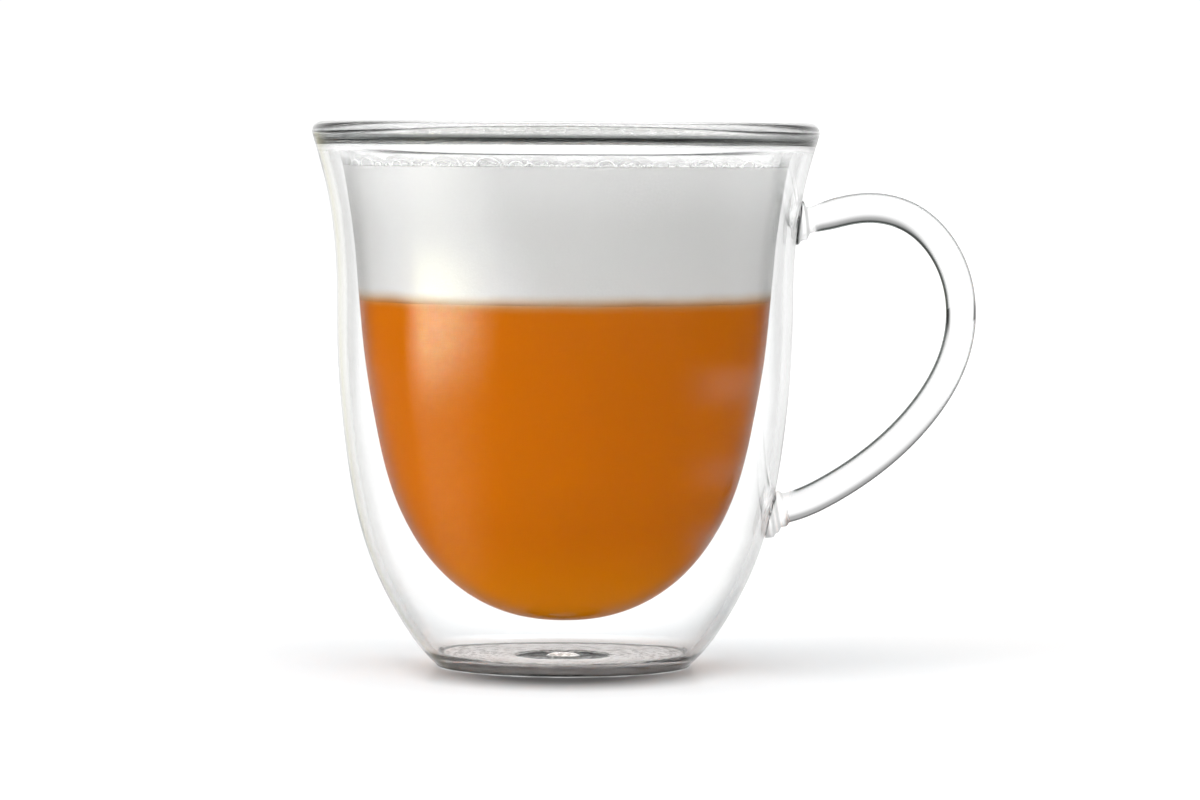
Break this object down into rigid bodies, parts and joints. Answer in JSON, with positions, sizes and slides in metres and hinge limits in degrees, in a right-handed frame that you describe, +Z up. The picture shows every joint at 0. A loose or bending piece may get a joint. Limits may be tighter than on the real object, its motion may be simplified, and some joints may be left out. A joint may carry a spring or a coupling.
{
  "type": "cup of cappuccino",
  "caption": "Double-walled clear glass mug with a D-shaped rod handle and a flared, rounded lip, filled with coffee under a deep layer of milk foam topped by a froth of bubbles.",
  "frame": {"origin": "the middle of the foot on the mug's axis, in the plane that it stands on", "axes": "+Z up along the mug's axis, +X towards the handle, which lies in the XZ plane, +Y away from the pictured side"},
  "size_m": [0.122, 0.093, 0.1],
  "materials": {
    "glass": "clear, fire-polished borosilicate glass, faintly grey-green where it is thick",
    "seal": "clear seal with a slightly rough face",
    "coffee": "milky orange-brown coffee, wet",
    "foam": "dense white milk foam, fine-celled, with larger bubbles on top"
  },
  "bodies": {
    "root": {"glass_mug": "glass", "vent_seal": "seal", "coffee": "coffee", "milk_foam": "foam"}
  },
  "joints": []
}
